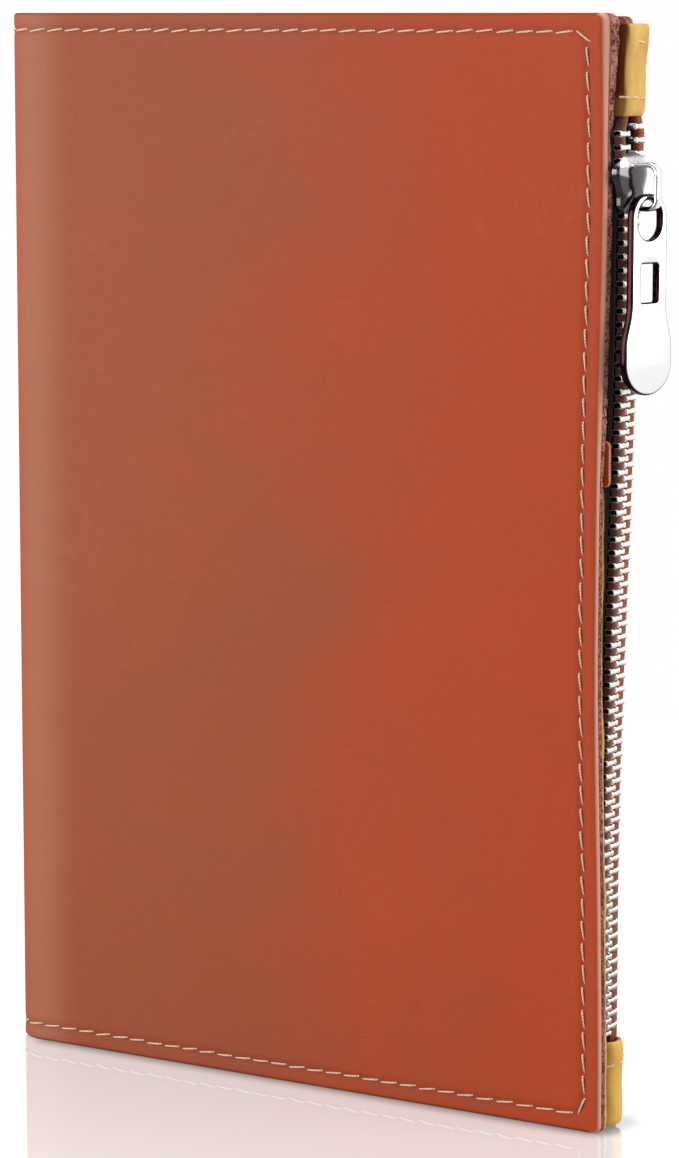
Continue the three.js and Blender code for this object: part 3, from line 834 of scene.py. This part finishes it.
def makeTab(name, node, bend, squeeze, shadeStart, shadeMost):
    # a strip folded round the zip's end, its nose squeezed back towards the foot and drawn in as
    # exp(-distance) at both ends; painted shade is 1 on the legs beside the nose
    low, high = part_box(node)
    leg, quarter = high[0] - bend - low[0], math.pi * bend / 2
    nose = max(2 * (high[1] - bend), 1e-5)
    path = [(leg, None), (quarter, bend), (nose, None), (quarter, bend), (leg, None)]
    long = sum(part[0] for part in path)
    tall = high[2] - low[2]
    near = np.array([0, 0.3, 0.7, 1.2]) * mm
    longLines = sheetLines(long, near, 0.45 * mm)
    tallLines = sheetLines(tall, near, 0.7 * mm)
    along, rise, depth, rim, quads = thickSheet(long, tall, longLines, tallLines, tab)

    def place(u, v, d):
        x, y = followPath(u, d, (low[0], high[1]), 0.0, path)
        out = np.clip((x - edgeX) / (high[0] - edgeX), 0, 1)
        share = v / tall
        ends = np.exp(-(tall - v) / (0.7 * mm)) + np.exp(-v / (0.5 * mm))
        x = x - squeeze * out * (1 - share) + out * mm * (0.12 * np.sin(share * 9) - 0.35 * ends)
        y = y * (1 - 0.03 * out * np.sin(share * np.pi))
        return gathered(x, y, low[2] + v)

    # painted shade on the legs beside the nose, less of it near the tab's lower end
    fromNose = np.abs(along - long / 2) / (long / 2 - leg) + 0.03 * np.sin(rise / tall * 7 + 1)
    paintedTabShade = smoothStep(fromNose, *shadeStart) * shadeMost * (1 - 0.28 * smoothStep(rise / tall, 0.25, 0.15))
    makePiece(name, place(along, rise, depth), quads, "wallet", pocketFinish,
              [node], {"rim": rim, "paintedTabShade": paintedTabShade})
    return place, tall, leg + quarter, leg + quarter + nose


def tabStitches(name, place, rows):
    # rows of (height, first length, last length, count, slant)
    centres, directions = [], []
    for rise, first, last, count, slant in rows:
        for u in np.linspace(first, last, count):
            centres.append((u, rise + (u - first) * math.tan(slant)))
            directions.append((math.cos(slant), math.sin(slant)))
    points, quads, twist = stitchRun(np.array(centres), np.array(directions), place,
                                     2.6 * mm, 0.5 * mm, 0.2 * mm)
    makePiece(name, points, quads, "wallet", threadFinish, layers={"twist": twist})


place, tall, noseStart, noseEnd = makeTab("upper_tab", "top_tab", tab["topBend"], 0.9 * mm,
                                          (0.78, 0.86), 0.96)
tabStitches("upper_tab_stitches", place, [
    (tall - 3.3 * mm, (noseStart + noseEnd) / 2, noseEnd, 1, math.radians(4)),
    (3.2 * mm, noseStart + 0.2 * mm, noseEnd + 5.2 * mm, 4, math.radians(2)),
])
place, tall, noseStart, noseEnd = makeTab("lower_tab", "bottom_tab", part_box("bottom_tab")[1][1], 0.1 * mm,
                                          (0.25, 1.0), 0.72)
middle = (noseStart + noseEnd) / 2
tabStitches("lower_tab_stitches", place, [
    (tall - 3.0 * mm, middle - 2.9 * mm, middle + 2.9 * mm, 3, math.radians(-14)),
])
print("stage: tabs made")


# The slider: a domed plate whose rim turns back into flanges at the sides, with its wedge and rear plate

slider = {
    "wall": 0.85 * mm,
    "dome": 1.35 * mm,  # how far the face falls towards its rim
    "domePower": 2.4,
    "rim": 0.25 * mm,  # how far the rim goes back where there is no flange
    "narrow": chainHalf + 1.0 * mm,
    "wide": sliderHigh[1],
    "middle": 0.55,  # share of its length that all its rings shrink to
    "cavityFront": sliderHigh[0] - 1.0 * mm,
    "flangeRear": edgeX + chain["lift"] - chain["depth"] + 0.15 * mm,
    "rearPlateFront": edgeX + chain["lift"] - chain["depth"] - 0.2 * mm,
    "rearPlate": 0.8 * mm,
    "wedgeHalf": 0.62 * mm,
}
bail = {
    "thick": 1.0 * mm,
    "bend": 2.3 * mm,
    "fill": 0.98,  # share of its place's width
    "flare": 0.35,  # how much wider its feet are
    "foot": 0.9 * mm,  # the length over which they widen
    "sunk": 0.3 * mm,  # how far they go into the slider
}


def sliderOutline(count):
    # half width against height: a narrow foot, wide shoulders and a round head, closed as a loop
    share = (1 - np.cos(np.linspace(0, np.pi, count))) / 2
    body = slider["narrow"] + (slider["wide"] - slider["narrow"]) * smoothStep(share, 0.28, 0.66)
    foot = 0.5 + 0.5 * np.sqrt(1 - (1 - np.clip(share / 0.15, 0, 1)) ** 2)
    head = np.sqrt(1 - np.clip((share - 0.64) / 0.36, 0, 1) ** 2.3)
    y = body * foot * np.maximum(head, 0.04)
    z = sliderLow[2] + share * sliderLength
    return np.concatenate([y, -y[::-1]]), np.concatenate([z, z[::-1]])


def makeSlider():
    # rings: the face falls as radius ^ 2.4, then the side walls and the cavity; wedge; rear plate; a
    # painted highlight across the dome's top
    y, z = sliderOutline(36)
    middleZ = sliderLow[2] + sliderLength * slider["middle"]
    share = (z - sliderLow[2]) / sliderLength
    sideWall = smoothStep(share, 0.02, 0.16) * smoothStep(share, 0.93, 0.74)
    front, cavity, rearFront = sliderHigh[0], slider["cavityFront"], slider["rearPlateFront"]
    edge = front - slider["dome"]
    rim = edge - slider["rim"]
    flange = rim + (slider["flangeRear"] - rim) * sideWall
    wall = slider["wall"] / np.maximum(np.hypot(y, z - middleZ), 1e-4)
    domed = (0.0, 0.15, 0.3, 0.45, 0.6, 0.72, 0.82, 0.9, 0.96, 0.99)
    profile = [(r, front - slider["dome"] * r ** slider["domePower"]) for r in domed]
    profile += [(1, edge + (flange - edge) * part) for part in (0.03, 0.3, 0.7, 0.94)]
    profile += [(1 - wall * 0.25, flange), (1 - wall * 0.8, flange), (1 - wall, flange + 0.1 * mm),
                (0.98 - wall, cavity - 0.1 * mm), (0.4, cavity), (0, cavity)]
    rings = [gathered(x, y * r, middleZ + (z - middleZ) * r) for r, x in profile]
    shell = (np.stack(rings), gridQuads(len(rings), len(y), closeColumns=True))
    wedge = roundedPost(rearFront - 0.4 * mm, cavity + 0.3 * mm, sliderLow[2] + sliderLength * 0.62,
                        sliderHigh[2] - sliderLength * 0.08, slider["wedgeHalf"])
    tongueHalf = roomHalf - chain["tape"] - 0.3 * mm
    rear = roundedBlock((rearFront - slider["rearPlate"], -tongueHalf, sliderLow[2] + mm),
                        (rearFront, tongueHalf, sliderHigh[2] - mm), 0.35)
    points, quads = joinShells([shell, wedge, rear])
    # painted highlight: a bright band across the top of the dome, the crescent a ceiling light would give
    down = sliderHigh[2] - points[:, 2]
    crown = smoothStep(down, 2.7 * mm, 2.2 * mm) * smoothStep(down, 0.7 * mm, 1.1 * mm)
    crown = crown * smoothStep(points[:, 0], edge - 0.6 * mm, edge) * 0.8
    makePiece("zip_slider", points, quads, "slider", castFinish, ["slider_body"], {"crown": crown})


def roundedPost(xStart, xEnd, zLow, zHigh, half):
    # a post along x whose section is a drop: round above, pointed below
    angle = wholeTurn(16)
    taper = 0.5 + 0.5 * np.sin(angle)
    y = half * np.cos(angle) * (0.25 + 0.75 * taper)
    x = np.linspace(xStart, xEnd, 4)[:, None]
    return gathered(x, y, zLow + (zHigh - zLow) * taper), tubeQuads(4, 16)


def roundedBlock(low, high, power):
    # a superellipsoid: the box's half sizes times sine and cosine raised to a small power
    low, high = np.array(low), np.array(high)
    cosU, sinU = squaredOff(np.linspace(-np.pi / 2, np.pi / 2, 13)[:, None], power)
    cosV, sinV = squaredOff(wholeTurn(24), power)
    unit = gathered(cosU * cosV, cosU * sinV, sinU)
    return (low + high) / 2 + unit * (high - low) / 2, gridQuads(13, 24, closeColumns=True)


def makeBail():
    # a squared-off strap from its upper foot out, down and back, the feet wider by exp(-length)
    low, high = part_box("slider_bail")
    thick, bend, foot = bail["thick"], bail["bend"], bail["foot"]
    out, quarter = high[0] - low[0] - bend, math.pi * bend / 2
    path = [(out, None), (quarter, bend), (high[2] - low[2] - 2 * bend, None), (quarter, bend), (out, None)]
    total = sum(part[0] for part in path)
    at = np.linspace(-bail["sunk"], total + bail["sunk"], 60)[:, None]
    flare = 1 + bail["flare"] * (np.exp(-at / foot) + np.exp(-(total - at) / foot))
    cos, sin = squaredOff(wholeTurn(20), 0.55)
    across = (high[1] - low[1]) / 2 * cos * flare * bail["fill"]
    x, z = followPath(at, thick / 2 + thick / 2 * sin + 0 * across, (low[0], high[2]), 0.0, path)
    makePiece("pull_bail", gathered(x, across, z), tubeQuads(60, 20), "slider",
              nickelFinish, ["slider_bail"])


makeSlider()
makeBail()


# The pull: a flat plate with an oval hole and a window, its edges rounded

pull = {
    "thick": 1.7 * mm,
    "turn": math.radians(17),  # how far it has turned on its bail
    "length": 36.2 * mm,
    "half": 4.45 * mm,  # half its width at the neck
    "endHalf": 5.95 * mm,  # and at its round end
    "shift": -0.25 * mm,
    "crown": 1.1 * mm,
    "shoulder": 1.4 * mm,
    "holeHalf": 2.9 * mm,
    "holeLength": 7.2 * mm,
    "windowHalf": 2.1 * mm,
    "windowLength": 6.9 * mm,
    "windowDrop": 12.0 * mm,
    "windowRound": 0.45 * mm,
    "flareDrop": 18.6 * mm,
    "flareEnd": 1.5 * mm,
    "bevel": 0.5 * mm,
}


def bezier(a, b, c, d, count=14):
    # a cubic curve from a to d with the handles b and c: the sum of 1, 3, 3, 1 times the powers of t
    t = np.linspace(0, 1, count)[:, None]
    a, b, c, d = (np.array(k, float) for k in (a, b, c, d))
    return (1 - t) ** 3 * a + 3 * (1 - t) ** 2 * t * b + 3 * (1 - t) * t * t * c + t ** 3 * d


def arc(centre, radius, start, end, count=24):
    # centre plus radius times cosine and sine
    angle = np.linspace(start, end, count)
    return np.stack([centre[0] + radius * np.cos(angle), centre[1] + radius * np.sin(angle)], -1)


def pullOutlines():
    # loops across and up from the hinge: mirrored cubic shoulders and flares over a half circle, a slot
    # of two half circles, and a window of four quarter circles
    half, end, top = pull["half"], pull["endHalf"], pull["crown"] / 2
    endRound = top - pull["length"] + end
    flareEnd = endRound + pull["flareEnd"]
    flareMiddle = (flareEnd - pull["flareDrop"]) / 2
    shoulder = bezier((half, -half), (half, top - pull["shoulder"]), (half * 0.55, top), (0, top))
    flare = bezier((end, flareEnd), (end, flareMiddle), (half, flareMiddle), (half, -pull["flareDrop"]))
    mirror = np.array([-1, 1])
    outer = np.concatenate([
        shoulder[:-1], (shoulder[::-1] * mirror)[:-1], (flare[::-1] * mirror)[:-1],
        arc((0, endRound), end, np.pi, 2 * np.pi, 48), flare])
    r = pull["holeHalf"]
    hole = np.concatenate([arc((0, -top - r), r, 0, np.pi),
                           arc((0, -top - pull["holeLength"] + r), r, np.pi, 2 * np.pi)])
    k, high = pull["windowRound"], -pull["windowDrop"]
    side, low = pull["windowHalf"] - k, high - pull["windowLength"]
    corners = [(side, high - k), (-side, high - k), (-side, low + k), (side, low + k)]
    window = np.concatenate([arc(corner, k, turn * np.pi / 2, (turn + 1) * np.pi / 2, 5)
                             for turn, corner in enumerate(corners)])
    return [outer, hole, window]


def makePull():
    # the outlines filled, thickened and bevelled as a curve, then turned by the angle about the hinge; its
    # flanks carry a painted reflection
    curve = bpy.data.curves.new("pullOutline", "CURVE")
    curve.dimensions = "2D"
    curve.fill_mode = "BOTH"
    curve.extrude = pull["thick"] / 2 - pull["bevel"]
    curve.bevel_depth = pull["bevel"]
    curve.bevel_resolution = 4
    curve.offset = -pull["bevel"]
    for outline in pullOutlines():
        spline = curve.splines.new("POLY")
        spline.points.add(len(outline) - 1)
        spline.points.foreach_set("co", np.hstack([outline, outline * 0 + (0, 1)]).ravel())
        spline.use_cyclic_u = True
    drawn = addObject("pullDrawn", curve)
    mesh = bpy.data.meshes.new_from_object(drawn.evaluated_get(bpy.context.evaluated_depsgraph_get()))
    bpy.data.objects.remove(drawn)
    flat = np.zeros(len(mesh.vertices) * 3)
    mesh.vertices.foreach_get("co", flat)
    across, up, out = flat.reshape(-1, 3).T
    across = across + pull["shift"]
    axis = next(j for j in frame["record"]["behaviour"]["joints"] if j["name"] == "pull_swing")["pos_m"]
    cos, sin = math.cos(pull["turn"]), math.sin(pull["turn"])
    placed = gathered(axis[0] + out * cos + across * sin, axis[1] - out * sin + across * cos,
                      axis[2] + up)
    mesh.vertices.foreach_set("co", placed.ravel())
    mesh.update()
    mesh.name = "slider_pull"
    mesh.materials.clear()
    mesh.materials.append(pullFinish)
    # painted reflection: the flanks are dark maroon, the leather they would mirror
    side = smoothStep(pull["thick"] / 2 - np.abs(out), 0, 0.05 * mm)
    mesh.attributes.new("side", "FLOAT", "POINT").data.foreach_set("value", side)
    piece = addObject("slider_pull", mesh)
    bm = bmesh.new()
    bm.from_mesh(mesh)
    bmesh.ops.remove_doubles(bm, verts=bm.verts, dist=1e-6)
    bmesh.ops.recalc_face_normals(bm, faces=bm.faces)
    bm.to_mesh(mesh)
    bm.free()
    mesh.polygons.foreach_set("use_smooth", np.ones(len(mesh.polygons), bool))
    mesh.set_sharp_from_angle(angle=math.radians(40))
    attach(piece, "pull")
    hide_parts("zip_pull")


makePull()
print("stage: slider, bail and pull made")


# Floor, light and camera

stage = {
    "floorWhite": 0.38,  # share of the floor that takes light and shadow near the wallet
    "floorGlow": 0.80,  # what the camera sees added to it there
    "mirror": 0.42,  # how much of the wallet the floor reflects at its foot
    "faded": 0.27,  # how far from the wallet the reflection has faded out
    "contactShadow": 0.006,  # how far the painted contact shadow under it reaches
    "floorSize": 6.0,
    "bright": (0.58, 0.78),  # the direction in plan that mirrors see bright
    "ambient": 0.34,
}


def makeFloor():
    # white to the camera, with the shadow, a painted contact shadow right under the wallet and a fading
    # reflection near it; mirrors see it dark towards the front and left, as a real room is
    f = newFinish("paleFloor")
    x, y, z = f.axes()
    camera, glossy = f.rays()
    away = (x * x + y * y) ** 0.5
    offWallet = (x.size() - 0.063).most(0) + (y.size() - 0.005).most(0)
    fade = 1 - offWallet.between(0.0, stage["faded"])
    # painted contact shadow: the glow the camera sees is dimmed in a thin line round the wallet's foot
    paintedContactShadow = 1 - offWallet.between(0.0, stage["contactShadow"])
    near = f.add("ShaderNodeBsdfDiffuse", {"Color": (stage["floorWhite"],) * 3 + (1,)})
    glow = f.emission(camera * (1 - paintedContactShadow * 0.6) * stage["floorGlow"])
    lit = f.add("ShaderNodeAddShader", {0: near, 1: glow})
    plain = f.mix(away.between(0.16, 0.42) * camera, lit, f.emission(1.0))
    gloss = f.add("ShaderNodeBsdfGlossy", {"Color": (1, 1, 1, 1), "Roughness": 0.035})
    polished = f.mix(fade * camera * stage["mirror"], plain, gloss)
    towards = (x * stage["bright"][0] + y * stage["bright"][1]) / away
    room = f.emission(0.26 + towards.between(0.42, 0.64) * 0.74)
    mesh = bpy.data.meshes.new("floor")
    k = stage["floorSize"]
    mesh.from_pydata([(-k, -k, 0), (k, -k, 0), (k, k, 0), (-k, k, 0)], [], [(0, 1, 2, 3)])
    mesh.materials.append(f.finish(f.mix(glossy * away.between(0.12, 0.3), polished, room)))
    floor = addObject("floor", mesh)


def areaLight(name, place, target, size, watts, tone=(1, 1, 1)):
    data = bpy.data.lights.new(name, "AREA")
    data.shape = "RECTANGLE"
    data.size, data.size_y = size
    data.energy = watts
    data.color = tone
    lamp = addObject(name, data)
    lamp.location = place
    lamp.rotation_euler = (Vector(target) - Vector(place)).to_track_quat("-Z", "Y").to_euler()


def makeWorld():
    # white to the camera and behind the wallet; mirrors see a darker room in front of it and to its left
    world = bpy.data.worlds.new("studio")
    bpy.context.scene.world = world
    f = Finish(world, "ShaderNodeOutputWorld")
    camera, glossy = f.rays()
    direction = f.add("ShaderNodeTexCoord", result="Generated")
    turned = f.dot(direction, (*stage["bright"], 0.0))
    upward = f.dot(direction, (0, 0, 1))
    low = 1 - upward.between(0.30, 0.36)
    mirror = 0.10 + turned.between(0.48, 0.68).most(upward.between(0.55, 0.8)).most(low) * 0.90
    level = camera + (1 - camera) * (glossy * mirror + (1 - glossy) * stage["ambient"])
    f.finish(f.add("ShaderNodeBackground", {"Color": (1, 1, 1, 1), "Strength": level}))


view = {
    "azimuth": 32.26,
    "elevation": 8.14,
    "distance": 0.7514,
    "target": (edgeX - 0.059813, 0.0, 0.0983),
    "lens": 122.7,
    "sensor": 36,
}


def makeCamera():
    data = bpy.data.cameras.new("camera")
    data.lens = view["lens"]
    data.sensor_width = view["sensor"]
    data.clip_start, data.clip_end = 0.02, 50
    camera = addObject("camera", data)
    a, e = math.radians(view["azimuth"]), math.radians(view["elevation"])
    back = Vector((math.sin(a) * math.cos(e), -math.cos(a) * math.cos(e), math.sin(e)))
    camera.location = Vector(view["target"]) + back * view["distance"]
    camera.rotation_euler = (-back).to_track_quat("-Z", "Y").to_euler()
    bpy.context.scene.camera = camera


makeFloor()
makeWorld()
areaLight("softFront", (-0.82, -0.86, 0.30), (0, 0, 0.07), (0.8, 0.8), 12.4, (1, 0.985, 0.965))
areaLight("softRight", (0.95, 0.30, 0.45), (0.06, 0, 0.1), (0.6, 0.8), 7.4)
areaLight("softTop", (0.0, 0.15, 1.1), (0, 0, 0.1), (0.9, 0.7), 3.5)
makeCamera()
bpy.context.scene.view_settings.view_transform = "Standard"
print("stage: floor, light and camera made")
